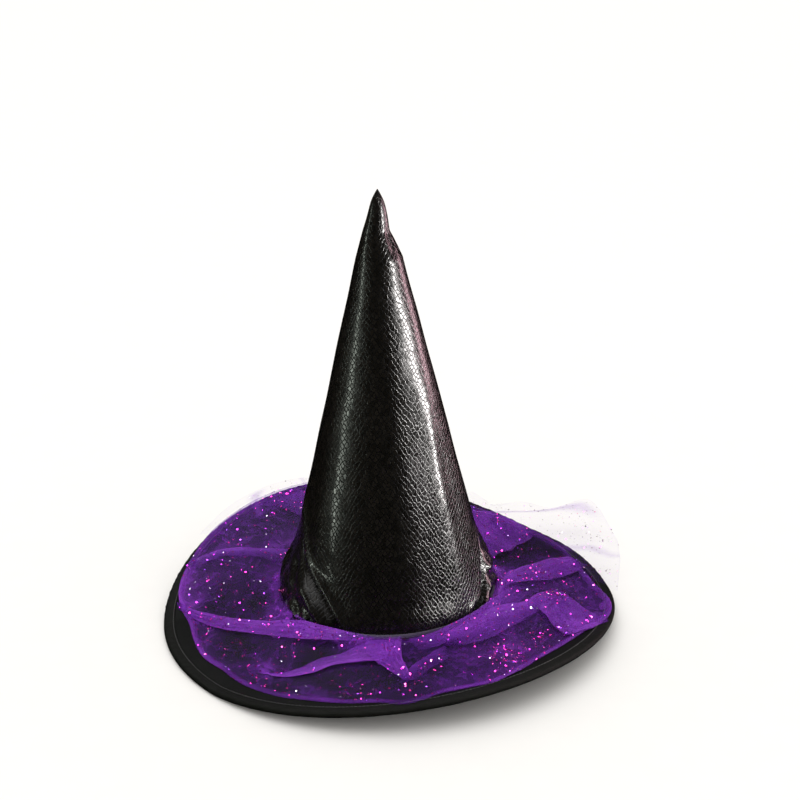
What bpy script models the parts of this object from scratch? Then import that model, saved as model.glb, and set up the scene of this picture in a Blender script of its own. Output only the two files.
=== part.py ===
"""Witch hat: a stiffened cone crown on a wired, bound brim, with a gathered tulle ruffle.

Metres, +Z up. The origin is on the table plane under the centre of the brim, the wearer's
front points to -Y. Every sub-part is one closed solid in its own object.
"""

import math

import bmesh
import bpy
from mathutils import Vector

# Driving dimensions
BRIM_RADIUS = 0.200
CROWN_RADIUS = 0.0923           # outside of the crown where it meets the brim's mid surface
APEX_HEIGHT = 0.3861            # the straight cone's ideal apex, above the brim's inner ring
CREASE_HEIGHT = 0.3235          # where the tip flops, above the brim's inner ring
TIP_LENGTH = 0.0375             # crease to the blunt top
TIP_INSET = 0.0006              # the tip's foot is this much slimmer than the cone it continues
TIP_SHAPE = ((1.00, 0.00), (0.83, 0.20), (0.68, 0.45), (0.53, 0.70), (0.40, 0.88), (0.20, 0.97))
TIP_CORE_RADIUS = 0.0012        # the hollow in the tip never gets slimmer than this
BRIM_RING_RISE = 0.0150         # the brim's inner ring above its lowest edge
SEGMENTS = 48                   # facets round the hat
TIP_SEGMENTS = 24
GAP = 0.0003                    # clearance between neighbouring sub-parts
HOLE_SLACK = 0.0001             # extra clearance between the crown and the brim's hole
SHARP_ANGLE = math.radians(35)  # edges sharper than this stay crisp

# The brim's edge waves up at the front and the back and lies flat on two side arcs
WAVE_HEIGHT = 0.0160
WAVE_FLATNESS = 0.8
WAVE_PHASE = math.radians(52.6)
WAVE_REAR_BIAS = 0.274
BRIM_CURVE = 1.5                # above 1 the brim leaves the crown level and bends further out

# Layer thicknesses
CORE_THICKNESS = 0.0020
BRIM_FABRIC_THICKNESS = 0.0005
CROWN_FABRIC_THICKNESS = 0.0008
STIFFENER_THICKNESS = 0.0015
SWEATBAND_THICKNESS = 0.0008
BINDING_THICKNESS = 0.0006
BAND_THICKNESS = 0.0012
TULLE_THICKNESS = 0.0010

# Widths, heights and round sizes
BINDING_WIDTH = 0.0100          # from the brim's rim to the lip of the binding
STACK_INSET = 0.0056            # from the brim's rim to the cut edge of its layers
FLAT_RIM = 0.0105               # the outer stretch of the brim that stays level in section
BRIM_STATIONS = 5               # radial points from the inner ring to the level rim
BINDING_BENDS = 6               # points of the half turn the binding makes round the edge
WIRE_RADIUS = 0.0008
WIRE_INSET = 0.0032
WIRE_SIDES = 6
WIRE_END_GAP = 0.10             # gap between the wire's ends, in facets of the hat
JOINER_RADIUS = 0.0015
JOINER_LENGTH = 0.60            # in facets of the hat
JOINER_SIDES = 8
THREAD_SIZE = 0.0005
BINDING_STITCH_INSET = 0.0085
STIFFENER_STOP = 0.0040         # the stiffener ends this far below the crease
SWEATBAND_HEIGHT = 0.0280
SWEATBAND_STITCH_HEIGHT = 0.0030
SEAM_TAPE_WIDTH = 0.0120
SEAM_TAPE_THICKNESS = 0.0006
SEAM_TAPE_CLEARANCE = 0.0008    # stands off the faceted cone it follows
SEAM_TAPE_START = 0.0020        # above the sweatband
SEAM_TAPE_STOP = 0.0600         # below the crease
BAND_HEIGHT = 0.0050
BAND_CLEARANCE = 0.0002
RUFFLE_INNER = 0.0020           # gathered edge of the tulle, outside the crown's base radius
RUFFLE_RIM = 0.0130             # from the brim's rim to the outer edge of the tulle

# The upper tulle layer in section: distance from the crown and height over the brim
RUFFLE_ARCH = ((0.0020, 0.0170), (0.0090, 0.0210), (0.0260, 0.0160), (0.0500, 0.0095), (0.0760, 0.0060))

# Looks: colour, roughness, metallic
FOIL_CLOTH = ((0.012, 0.012, 0.011), 0.30, 0.6)
STIFF_FELT = ((0.050, 0.050, 0.050), 0.90)
BOARD = ((0.060, 0.060, 0.060), 0.95)
SATIN = ((0.012, 0.014, 0.013), 0.45)
LINING = ((0.012, 0.014, 0.013), 0.55)
TAPE = ((0.020, 0.020, 0.020), 0.85)
SWEAT_RIBBON = ((0.015, 0.015, 0.017), 0.70)
BIAS_TAPE = ((0.045, 0.047, 0.042), 0.50)
BLACK_THREAD = ((0.030, 0.030, 0.030), 0.60)
STEEL = ((0.550, 0.550, 0.560), 0.35, 1.0)
CRIMP_METAL = ((0.600, 0.580, 0.520), 0.40, 1.0)
TULLE = ((0.160, 0.050, 0.360), 0.50)
GATHER_BAND = ((0.050, 0.020, 0.100), 0.70)
VIOLET_THREAD = ((0.080, 0.030, 0.160), 0.60)

STACK_HALF = CORE_THICKNESS / 2 + GAP + BRIM_FABRIC_THICKNESS
CAVITY_HALF = STACK_HALF + GAP
BINDING_HALF = CAVITY_HALF + BINDING_THICKNESS
RING_HEIGHT = BINDING_HALF + BRIM_RING_RISE
CREASE_Z = RING_HEIGHT + CREASE_HEIGHT
HOLE_RADIUS = CROWN_RADIUS * (1 + STACK_HALF / APEX_HEIGHT) + GAP + HOLE_SLACK


def cone_radius(z):
    """Radius of the crown's outer face at height z."""
    return CROWN_RADIUS * (1 - (z - RING_HEIGHT) / APEX_HEIGHT)


def edge_rise(angle):
    """How far the brim's edge stands above its lowest line, at an angle from +X."""
    wave = max(0.0, WAVE_FLATNESS - math.cos(2 * angle - WAVE_PHASE))
    return WAVE_HEIGHT * wave * (1 + WAVE_REAR_BIAS * math.sin(angle))


def brim_height(radius, angle):
    """Height of the brim's mid surface."""
    reach = (radius - HOLE_RADIUS) / (BRIM_RADIUS - FLAT_RIM - HOLE_RADIUS)
    share = min(1.0, max(0.0, reach)) ** BRIM_CURVE
    edge = BINDING_HALF + edge_rise(angle)
    return RING_HEIGHT + (edge - RING_HEIGHT) * share


def level(radius, angle):
    """For bodies whose section heights are already world heights."""
    return 0.0


def material(name, color, roughness, metallic=0.0):
    made = bpy.data.materials.new(name)
    made.use_nodes = True
    shader = made.node_tree.nodes["Principled BSDF"]
    shader.inputs["Base Color"].default_value = (*color, 1.0)
    shader.inputs["Roughness"].default_value = roughness
    shader.inputs["Metallic"].default_value = metallic
    return made


def add_object(name, bm, look, origin=(0.0, 0.0, 0.0)):
    """Make an object from a bmesh whose points are in the world, with its origin moved."""
    bmesh.ops.recalc_face_normals(bm, faces=bm.faces)
    bmesh.ops.translate(bm, verts=bm.verts, vec=-Vector(origin))
    mesh = bpy.data.meshes.new(name)
    bm.to_mesh(mesh)
    bm.free()
    mesh.shade_smooth()
    mesh.set_sharp_from_angle(angle=SHARP_ANGLE)
    made = bpy.data.objects.new(name, mesh)
    made.location = origin
    made.data.materials.append(material(name, *look))
    bpy.context.collection.objects.link(made)
    return made


def turned_ring(name, section, look, lift=level):
    """Sweep a closed section of (radius, height) points round the axis, raised by lift.

    Warped quads are all cut along the same radial diagonal, so stacked layers stay parallel.
    """
    bm = bmesh.new()
    rings = []
    for step in range(SEGMENTS):
        angle = 2 * math.pi * step / SEGMENTS
        ring = []
        for radius, height in section:
            z = height + lift(radius, angle)
            ring.append(bm.verts.new((radius * math.cos(angle), radius * math.sin(angle), z)))
        rings.append(ring)
    for step in range(SEGMENTS):
        here, there = rings[step], rings[(step + 1) % SEGMENTS]
        for j in range(len(section)):
            k = (j + 1) % len(section)
            if lift is level:
                bm.faces.new((here[j], there[j], there[k], here[k]))
            elif section[k][0] >= section[j][0]:
                bm.faces.new((here[j], there[j], there[k]))
                bm.faces.new((here[j], there[k], here[k]))
            else:
                bm.faces.new((here[j], there[j], here[k]))
                bm.faces.new((there[j], there[k], here[k]))
    return add_object(name, bm, look)


def sheet_section(radii, low, high):
    """Section of a flat layer: out along its top and back along its underside."""
    return [(r, high) for r in radii] + [(r, low) for r in reversed(radii)]


def cone_section(outer_depth, thickness, bottom, top):
    """Section of a layer that follows the crown, outer_depth inside its outer face."""
    outer = [(cone_radius(z) - outer_depth, z) for z in (bottom, top)]
    return outer + [(r - thickness, z) for r, z in reversed(outer)]


def brim_radii(outer):
    """Radial stations that all layers of the brim share."""
    flat_start = BRIM_RADIUS - FLAT_RIM
    span = flat_start - HOLE_RADIUS
    return [HOLE_RADIUS + span * i / (BRIM_STATIONS - 1) for i in range(BRIM_STATIONS)] + [outer]


def facet_point(radius, turns, height):
    """A point on the faceted ring, straight between two facet corners. turns counts facets."""
    first = math.floor(turns)
    share = turns - first
    corners = []
    for step in (first, first + 1):
        angle = 2 * math.pi * step / SEGMENTS
        z = height + brim_height(radius, angle)
        corners.append(Vector((radius * math.cos(angle), radius * math.sin(angle), z)))
    return corners[0].lerp(corners[1], share)


def hoop(name, radius, thickness, turns, look):
    """An open round wire along the rim through the given facet positions, with flat ends."""
    bm = bmesh.new()
    rings = []
    for position in turns:
        ring = []
        for side in range(WIRE_SIDES):
            around = 2 * math.pi * side / WIRE_SIDES
            across = radius + thickness * math.cos(around)
            ring.append(bm.verts.new(facet_point(across, position, thickness * math.sin(around))))
        rings.append(ring)
    for here, there in zip(rings, rings[1:]):
        for j in range(WIRE_SIDES):
            k = (j + 1) % WIRE_SIDES
            bm.faces.new((here[j], there[j], there[k]))
            bm.faces.new((here[j], there[k], here[k]))
    bm.faces.new(rings[0])
    bm.faces.new(rings[-1])
    return add_object(name, bm, look)


def make_crown():
    bottom = RING_HEIGHT - STACK_HALF
    fabric = cone_section(0.0, CROWN_FABRIC_THICKNESS, bottom, CREASE_Z - GAP / 2)
    turned_ring("crown_shell", fabric, FOIL_CLOTH)
    depth = CROWN_FABRIC_THICKNESS + GAP
    stiffener = cone_section(depth, STIFFENER_THICKNESS, bottom, CREASE_Z - STIFFENER_STOP)
    turned_ring("crown_stiffener", stiffener, STIFF_FELT)


def tip_profile():
    """Outer face of the tip: a cone that rounds over to a blunt top, as (radius, height)."""
    base = cone_radius(CREASE_Z) - TIP_INSET
    foot = CREASE_Z + GAP / 2
    return [(base * width, foot + TIP_LENGTH * rise) for width, rise in TIP_SHAPE]


def make_tip():
    """The soft hollow tip. Its origin is on the hinge line at the +X end of the crease."""
    outer = tip_profile()
    wall = CROWN_FABRIC_THICKNESS
    foot_radius, foot_z = outer[0]
    inner = [(foot_radius - wall, foot_z)]
    inner += [(max(r - wall, TIP_CORE_RADIUS), z - wall) for r, z in outer[1:]]
    top = CREASE_Z + GAP / 2 + TIP_LENGTH
    bm = bmesh.new()
    columns = []
    for step in range(TIP_SEGMENTS):
        angle = 2 * math.pi * step / TIP_SEGMENTS
        column = []
        for radius, z in inner[::-1] + outer:
            column.append(bm.verts.new((radius * math.cos(angle), radius * math.sin(angle), z)))
        columns.append(column)
    outer_pole = bm.verts.new((0.0, 0.0, top))
    inner_pole = bm.verts.new((0.0, 0.0, top - 2 * wall))
    for step in range(TIP_SEGMENTS):
        here, there = columns[step], columns[(step + 1) % TIP_SEGMENTS]
        for j in range(len(here) - 1):
            bm.faces.new((here[j], there[j], there[j + 1], here[j + 1]))
        bm.faces.new((here[-1], there[-1], outer_pole))
        bm.faces.new((here[0], inner_pole, there[0]))
    pivot = (cone_radius(CREASE_Z), 0.0, CREASE_Z)
    add_object("crown_tip", bm, FOIL_CLOTH, pivot)


def make_back_seam_tape():
    """Tape that closes the back seam of the crown, inside the stiffener and above the sweatband."""
    depth = CROWN_FABRIC_THICKNESS + GAP + STIFFENER_THICKNESS + SEAM_TAPE_CLEARANCE
    bottom = RING_HEIGHT + SWEATBAND_HEIGHT + SEAM_TAPE_START
    top = CREASE_Z - SEAM_TAPE_STOP
    half = SEAM_TAPE_WIDTH / 2
    bm = bmesh.new()
    ends = []
    for z in (bottom, top):
        outer = cone_radius(z) - depth - half ** 2 / (2 * cone_radius(top))
        inner = outer - SEAM_TAPE_THICKNESS
        corners = [(-half, outer), (half, outer), (half, inner), (-half, inner)]
        ends.append([bm.verts.new((x, y, z)) for x, y in corners])
    for j in range(4):
        k = (j + 1) % 4
        bm.faces.new((ends[0][j], ends[0][k], ends[1][k], ends[1][j]))
    bm.faces.new(ends[0])
    bm.faces.new(ends[1])
    add_object("crown_seam_tape", bm, TAPE)


def make_sweatband():
    depth = CROWN_FABRIC_THICKNESS + GAP + STIFFENER_THICKNESS + GAP
    bottom = RING_HEIGHT - STACK_HALF
    band = cone_section(depth, SWEATBAND_THICKNESS, bottom, RING_HEIGHT + SWEATBAND_HEIGHT)
    turned_ring("sweatband", band, SWEAT_RIBBON)
    depth += SWEATBAND_THICKNESS + GAP
    low = RING_HEIGHT + SWEATBAND_STITCH_HEIGHT
    thread = cone_section(depth, THREAD_SIZE, low, low + THREAD_SIZE)
    turned_ring("sweatband_stitching", thread, BLACK_THREAD)


def make_brim():
    radii = brim_radii(BRIM_RADIUS - STACK_INSET)
    half = CORE_THICKNESS / 2
    core = sheet_section(radii, -half, half)
    turned_ring("brim_core", core, BOARD, brim_height)
    top = sheet_section(radii, half + GAP, STACK_HALF)
    turned_ring("brim_top_fabric", top, SATIN, brim_height)
    under = sheet_section(radii, -STACK_HALF, -half - GAP)
    turned_ring("brim_underside_fabric", under, LINING, brim_height)


def make_edge_binding():
    """A folded tape with a C section, open towards the crown, that wraps the brim's edge."""
    lip = BRIM_RADIUS - BINDING_WIDTH
    nose = BRIM_RADIUS - BINDING_HALF
    turns = [math.pi * (0.5 - i / (BINDING_BENDS - 1)) for i in range(BINDING_BENDS)]
    outer = [(nose + BINDING_HALF * math.cos(a), BINDING_HALF * math.sin(a)) for a in turns]
    inner = [(nose + CAVITY_HALF * math.cos(a), CAVITY_HALF * math.sin(a)) for a in reversed(turns)]
    section = [(lip, BINDING_HALF)] + outer + [(lip, -BINDING_HALF)]
    section += [(lip, -CAVITY_HALF)] + inner + [(lip, CAVITY_HALF)]
    turned_ring("edge_binding", section, BIAS_TAPE, brim_height)
    low = BINDING_HALF + GAP
    stitch = BRIM_RADIUS - BINDING_STITCH_INSET
    thread = sheet_section([stitch - THREAD_SIZE, stitch], low, low + THREAD_SIZE)
    turned_ring("binding_stitching", thread, BLACK_THREAD, brim_height)


def make_edge_wire():
    """The spring wire in the binding, and the crimped tube that joins its ends at the back."""
    joint = SEGMENTS // 4 + 0.5
    radius = BRIM_RADIUS - WIRE_INSET
    first = math.ceil(joint)
    start = joint + WIRE_END_GAP / 2
    end = joint + SEGMENTS - WIRE_END_GAP / 2
    turns = [start] + list(range(first, first + SEGMENTS)) + [end]
    hoop("brim_edge_wire", radius, WIRE_RADIUS, turns, STEEL)
    make_wire_joiner(radius, joint)


def make_wire_joiner(radius, joint):
    reach = JOINER_LENGTH / 2
    ends = [facet_point(radius, joint + offset, 0.0) for offset in (-reach, reach)]
    along = (ends[1] - ends[0]).normalized()
    across = along.cross(Vector((0.0, 0.0, 1.0))).normalized()
    up = across.cross(along)
    bm = bmesh.new()
    loops = []
    for end in ends:
        for size in (WIRE_RADIUS + GAP, JOINER_RADIUS):
            loop = []
            for side in range(JOINER_SIDES):
                a = 2 * math.pi * side / JOINER_SIDES
                loop.append(bm.verts.new(end + (across * math.cos(a) + up * math.sin(a)) * size))
            loops.append(loop)
    near_hole, near_rim, far_hole, far_rim = loops
    for a, b in ((near_hole, near_rim), (near_rim, far_rim), (far_rim, far_hole), (far_hole, near_hole)):
        for j in range(JOINER_SIDES):
            k = (j + 1) % JOINER_SIDES
            bm.faces.new((a[j], a[k], b[k], b[j]))
    add_object("edge_wire_joiner", bm, CRIMP_METAL)


def make_ruffle():
    """The gathering band on the crown's base, and the two layers of the folded tulle strip."""
    low = RING_HEIGHT + STACK_HALF + GAP
    inner = CROWN_RADIUS + BAND_CLEARANCE
    band = sheet_section([inner, inner + BAND_THICKNESS], low, low + BAND_HEIGHT)
    turned_ring("ruffle_gather_band", band, GATHER_BAND)
    thread_z = low + BAND_HEIGHT / 2
    thread_r = inner + BAND_THICKNESS + GAP
    thread = sheet_section([thread_r, thread_r + THREAD_SIZE / 2], thread_z, thread_z + THREAD_SIZE)
    turned_ring("ruffle_stitching", thread, VIOLET_THREAD)
    start = CROWN_RADIUS + RUFFLE_INNER + GAP
    rim = BRIM_RADIUS - RUFFLE_RIM
    radii = [start] + [r for r in brim_radii(rim) if start < r < rim] + [rim]
    base = STACK_HALF + 2 * GAP
    lower = sheet_section(radii, base, base + TULLE_THICKNESS)
    turned_ring("ruffle_lower_layer", lower, TULLE, brim_height)
    arch = [(CROWN_RADIUS + GAP + out, rise) for out, rise in RUFFLE_ARCH]
    upper = arch + [(r, rise - TULLE_THICKNESS) for r, rise in reversed(arch)]
    turned_ring("ruffle_upper_layer", upper, TULLE, brim_height)


def main():
    for old in list(bpy.data.objects):
        bpy.data.objects.remove(old, do_unlink=True)
    make_crown()
    make_tip()
    make_back_seam_tape()
    make_sweatband()
    make_brim()
    make_edge_binding()
    make_edge_wire()
    make_ruffle()


main()
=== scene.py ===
"""Looks of the witch hat: scale-print cone, bound satin brim and glitter tulle ruffle.

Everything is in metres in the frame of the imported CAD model. An angle called turn is measured
round the hat from the wearer's front (-Y), positive towards +X.
"""

import math

import bpy
import numpy as np
from mathutils import Matrix, Vector, noise
from mathutils.bvhtree import BVHTree


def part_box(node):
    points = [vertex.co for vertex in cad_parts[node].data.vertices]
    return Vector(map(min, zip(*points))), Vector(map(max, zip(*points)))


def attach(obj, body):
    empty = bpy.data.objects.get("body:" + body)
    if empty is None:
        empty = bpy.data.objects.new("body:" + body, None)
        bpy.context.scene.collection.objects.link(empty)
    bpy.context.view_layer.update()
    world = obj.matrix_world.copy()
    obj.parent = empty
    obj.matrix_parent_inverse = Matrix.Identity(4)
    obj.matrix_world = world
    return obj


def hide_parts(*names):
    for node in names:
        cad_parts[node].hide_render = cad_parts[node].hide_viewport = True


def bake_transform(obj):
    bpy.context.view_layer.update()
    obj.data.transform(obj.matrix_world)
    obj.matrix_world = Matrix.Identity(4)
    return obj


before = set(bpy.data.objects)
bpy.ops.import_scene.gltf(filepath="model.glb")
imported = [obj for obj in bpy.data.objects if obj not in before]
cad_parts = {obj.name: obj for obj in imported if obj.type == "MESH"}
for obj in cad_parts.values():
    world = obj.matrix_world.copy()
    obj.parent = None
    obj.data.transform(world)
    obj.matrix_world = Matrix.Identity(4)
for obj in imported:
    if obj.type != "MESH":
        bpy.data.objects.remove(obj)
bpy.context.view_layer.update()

# Sizes read from the frame
RIM_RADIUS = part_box("edge_binding")[1][0]
SHELL_LOW, SHELL_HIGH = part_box("crown_shell")
CREASE_Z = SHELL_HIGH[2]
APEX_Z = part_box("crown_tip")[1][2]
HEM_Z = SHELL_LOW[2]

# Sizes the frame's boxes can't give, as the CAD source has them
STACK_HALF = 0.0018             # half the thickness of the brim's three layers
RING_Z = HEM_Z + STACK_HALF     # the brim's mid surface at the crown
CROWN_RADIUS = 0.0923
CONE_HEIGHT = 0.3861
HOLE_RADIUS = 0.0931
CORE_HALF = 0.0010
BINDING_HALF = 0.0027
BINDING_WALL = 0.0006
BINDING_WIDTH = 0.0100
STACK_INSET = 0.0056
LEVEL_RIM = 0.0105
WAVE_HEIGHT = 0.0160
WAVE_FLATNESS = 0.8
WAVE_PHASE = math.radians(52.6)
WAVE_REAR_BIAS = 0.274
LAYER_GAP = 0.0003
BINDING_SEAM = RIM_RADIUS - 0.0085

# The crown's inner layers: gap to the crown's outer face, and thickness
STIFFENER_DEPTH = 0.0012
STIFFENER_THICKNESS = 0.0014
STIFFENER_STOP = 0.0060         # below the crease
SWEATBAND_DEPTH = 0.0030
SWEATBAND_THICKNESS = 0.0008
SWEATBAND_TOP = RING_Z + 0.0280
SWEATBAND_SEAM = RING_Z + 0.0030
SEAM_TAPE_DEPTH = 0.0028
SEAM_TAPE_THICKNESS = 0.0005
SEAM_TAPE_HALF = 0.0060         # half its width
SEAM_TAPE_LOW = RING_Z + 0.0300
SEAM_TAPE_HIGH = CREASE_Z - 0.0600

RNG = np.random.default_rng(31)


# ---------------------------------------------------------------- shared shapes


def ramp(x, low, high):
    """Smooth step from 0 at low to 1 at high."""
    t = np.clip((np.asarray(x, float) - low) / (high - low), 0.0, 1.0)
    return t * t * (3 - 2 * t)


def bump(x, centre, width):
    return np.exp(-(((np.asarray(x, float) - centre) / width) ** 2))


def angle_gap(turn, centre):
    """Signed difference of two angles in degrees, from -180 to 180."""
    return (np.asarray(turn, float) - centre + 180.0) % 360.0 - 180.0


def near_turn(turn, middle, full, faded):
    """1 near a turn, fading to 0 further round the hat."""
    return 1 - ramp(np.abs(angle_gap(turn, middle)), full, faded)


def cone_radius(z):
    return CROWN_RADIUS * (1 - (z - RING_Z) / CONE_HEIGHT)


def around(radius, turn_deg):
    """Plan position at a radius and a turn from the front."""
    a = np.radians(turn_deg)
    return radius * np.sin(a), -radius * np.cos(a)


def polar(x, y):
    """Radius and turn from the front of a plan position."""
    return np.hypot(x, y), np.degrees(np.arctan2(x, -y))


def brim_z(radius, turn_deg):
    """Height of the brim's mid surface."""
    a = np.radians(np.asarray(turn_deg, float) - 90.0)
    wave = np.maximum(0.0, WAVE_FLATNESS - np.cos(2 * a - WAVE_PHASE))
    edge = BINDING_HALF + WAVE_HEIGHT * wave * (1 + WAVE_REAR_BIAS * np.sin(a))
    reach = (radius - HOLE_RADIUS) / (RIM_RADIUS - LEVEL_RIM - HOLE_RADIUS)
    return RING_Z + (edge - RING_Z) * np.clip(reach, 0.0, 1.0) ** 1.5


def smooth_noise(points, scale, seed=0.0):
    """Perlin noise at each point of an (..., 3) array."""
    flat = np.asarray(points, float).reshape(-1, 3) * scale + seed
    values = [noise.noise(Vector(p)) for p in flat]
    return np.array(values).reshape(np.asarray(points).shape[:-1])


def through(points, at, periodic=None):
    """Smooth curve through (x, y) points, read at the positions given."""
    xs, ys = (np.array(v, float) for v in zip(*points))
    if periodic:
        xs = np.concatenate([xs[-3:] - periodic, xs, xs[:3] + periodic])
        ys = np.concatenate([ys[-3:], ys, ys[:3]])
    slopes = np.gradient(ys, xs)
    at = np.asarray(at, float)
    i = np.clip(np.searchsorted(xs, at) - 1, 0, len(xs) - 2)
    step = xs[i + 1] - xs[i]
    t = np.clip((at - xs[i]) / step, 0.0, 1.0)
    a = ys[i] * (1 + 2 * t) * (1 - t) ** 2 + ys[i + 1] * t * t * (3 - 2 * t)
    return a + step * (slopes[i] * t * (1 - t) ** 2 - slopes[i + 1] * t * t * (1 - t))


def positions(mesh):
    """A mesh's vertex positions as an (n, 3) array."""
    co = np.empty(len(mesh.vertices) * 3)
    mesh.vertices.foreach_get("co", co)
    return co.reshape(-1, 3)


def grid_faces(rows, cols, wrap_rows, wrap_cols):
    """Corner numbers of a grid's quads."""
    i = np.arange(rows if wrap_rows else rows - 1)
    j = np.arange(cols if wrap_cols else cols - 1)
    i, j = (v.ravel() for v in np.meshgrid(i, j, indexing="ij"))
    after_i, after_j = (i + 1) % rows, (j + 1) % cols
    return np.stack([i * cols + j, i * cols + after_j, after_i * cols + after_j, after_i * cols + j], 1)


def grid_corner_uv(uv, rows, cols):
    """UV of each corner of rows x cols quads, from a grid of UVs one larger each way."""
    wide = uv.shape[1]
    i, j = (v.ravel() for v in np.meshgrid(np.arange(rows), np.arange(cols), indexing="ij"))
    corner = np.stack([i * wide + j, i * wide + j + 1, (i + 1) * wide + j + 1, (i + 1) * wide + j], 1)
    return uv.reshape(-1, 2)[corner]


def add_mesh(name, verts, faces, uv=None):
    """Make an object from points and faces. uv has one pair for each face corner."""
    mesh = bpy.data.meshes.new(name)
    mesh.from_pydata(np.asarray(verts).reshape(-1, 3).tolist(), [], [list(map(int, f)) for f in faces])
    if uv is not None:
        layer = mesh.uv_layers.new(name="UVMap")
        layer.data.foreach_set("uv", np.asarray(uv, np.float32).ravel())
    mesh.shade_smooth()
    made = bpy.data.objects.new(name, mesh)
    bpy.context.collection.objects.link(made)
    return made


def add_grid(name, points, uv=None, wrap_rows=False, wrap_cols=False, flip=False):
    """Make a sheet or ring from a (rows, cols, 3) array.

    uv is (rows, cols, 2), with one more row or column where that way wraps.
    """
    rows, cols = points.shape[:2]
    faces = grid_faces(rows, cols, wrap_rows, wrap_cols)
    corners = None
    if uv is not None:
        corners = grid_corner_uv(uv, rows if wrap_rows else rows - 1, cols if wrap_cols else cols - 1)
    if flip:
        faces = faces[:, ::-1]
        corners = corners if uv is None else corners[:, ::-1]
    return add_mesh(name, points, faces, corners)


def add_ring(name, section, turns, lift=None):
    """Sweep a closed section of (radius, height) round the hat; lift(radius, turn) is added."""
    turn = np.arange(turns) * 360.0 / turns
    radius, height = (np.array(values)[None, :] + np.zeros((turns, 1)) for values in zip(*section))
    if lift:
        height = height + lift(radius, turn[:, None])
    x, y = around(radius, turn[:, None])
    lengths = np.hypot(*np.diff(np.array(list(section) + [section[0]]), axis=0).T)
    along = np.concatenate([[0.0], np.cumsum(lengths)])
    circle = np.arange(turns + 1) * 2 * math.pi * float(np.mean(radius)) / turns
    uv = np.stack(np.meshgrid(circle, along, indexing="ij"), -1)
    return add_grid(name, np.stack([x, y, height], -1), uv, True, True, flip=True)


def thicken(sheet, thickness, side):
    """Give a sheet a thickness, on the side its normals face (1) or the other (-1)."""
    thick = sheet.modifiers.new("thickness", "SOLIDIFY")
    thick.thickness = thickness
    thick.offset = side


def finish_piece(piece, look, body, replaces):
    """Give a piece its look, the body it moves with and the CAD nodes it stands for."""
    piece.data.materials.clear()
    piece.data.materials.append(look)
    if body:
        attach(piece, body)
    if replaces:
        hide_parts(*replaces)
    return piece


# ---------------------------------------------------------------- materials


class Shader:
    """A node tree built call by call. Inputs that are sockets are linked, others are set."""

    def __init__(self, name):
        self.look = bpy.data.materials.new(name)
        self.look.use_nodes = True
        self.tree = self.look.node_tree
        self.tree.nodes.clear()
        self.out = self.tree.nodes.new("ShaderNodeOutputMaterial")

    def add(self, kind, inputs=None, **settings):
        node = self.tree.nodes.new("ShaderNode" + kind)
        for key, value in settings.items():
            setattr(node, key, value)
        for key, value in (inputs or {}).items():
            socket = node.inputs[key]
            if isinstance(value, bpy.types.NodeSocket):
                self.tree.links.new(value, socket)
            elif isinstance(value, tuple) and len(value) == 3 and socket.type == "RGBA":
                socket.default_value = (*value, 1.0)
            else:
                socket.default_value = value
        return node

    def math(self, operation, a, b=0.0):
        return self.add("Math", {0: a, 1: b}, operation=operation).outputs[0]

    def noise(self, vector, scale, detail=3.0, rough=0.5):
        inputs = {"Vector": vector, "Scale": scale, "Detail": detail, "Roughness": rough}
        return self.add("TexNoise", inputs)

    def span(self, value, low, high, to_low, to_high, kind="LINEAR"):
        inputs = {"Value": value, "From Min": low, "From Max": high,
                  "To Min": to_low, "To Max": to_high}
        return self.add("MapRange", inputs, interpolation_type=kind).outputs[0]

    def mix(self, share, low, high):
        node = self.add("Mix", {}, data_type="RGBA")
        for socket, value in ((node.inputs[0], share), (node.inputs[6], low), (node.inputs[7], high)):
            if isinstance(value, bpy.types.NodeSocket):
                self.tree.links.new(value, socket)
            else:
                socket.default_value = (*value, 1.0) if isinstance(value, tuple) else value
        return node.outputs[2]

    def bump(self, height, distance, strength=1.0, normal=None):
        inputs = {"Height": height, "Distance": distance, "Strength": strength}
        if normal:
            inputs["Normal"] = normal
        return self.add("Bump", inputs).outputs[0]

    def cells(self, kind, vector, scale, randomness):
        """A flat Voronoi pattern's node."""
        inputs = {"Vector": vector, "Scale": scale, "Randomness": randomness}
        return self.add("TexVoronoi", inputs, feature=kind, voronoi_dimensions="2D")

    def vector(self, operation, a, b=None):
        """Vector arithmetic. A plain number as b is a scale."""
        inputs = {0: a}
        if b is not None:
            inputs["Scale" if isinstance(b, float) else 1] = b
        return self.add("VectorMath", inputs, operation=operation).outputs[0]

    def uv(self):
        return self.add("UVMap", uv_map="UVMap").outputs[0]

    def place(self):
        return self.add("TexCoord").outputs["Object"]

    def surface(self, inputs):
        shade = self.add("BsdfPrincipled", inputs)
        self.tree.links.new(shade.outputs[0], self.out.inputs["Surface"])
        return self.look


SCALE_WIDTH = 0.0042            # of the crown's printed diamonds
SCALE_LENGTH = 0.0058
HALF_GREY = (0.5, 0.5, 0.5)


def scale_cells(s):
    """Coordinates in which the crown's diamonds are unit cells, bent by a slow wander."""
    flat = s.add("SeparateXYZ", {0: s.uv()})
    u = s.math("MULTIPLY", flat.outputs[0], 1 / SCALE_WIDTH)
    v = s.math("MULTIPLY", flat.outputs[1], 1 / SCALE_LENGTH)
    cells = s.add("CombineXYZ", {0: s.math("ADD", u, v), 1: s.math("SUBTRACT", u, v)}).outputs[0]
    wander = s.noise(cells, 0.30, 2.0).outputs["Color"]
    bent = s.vector("SCALE", s.vector("SUBTRACT", wander, HALF_GREY), 1.6)
    return s.vector("ADD", cells, bent)


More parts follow.
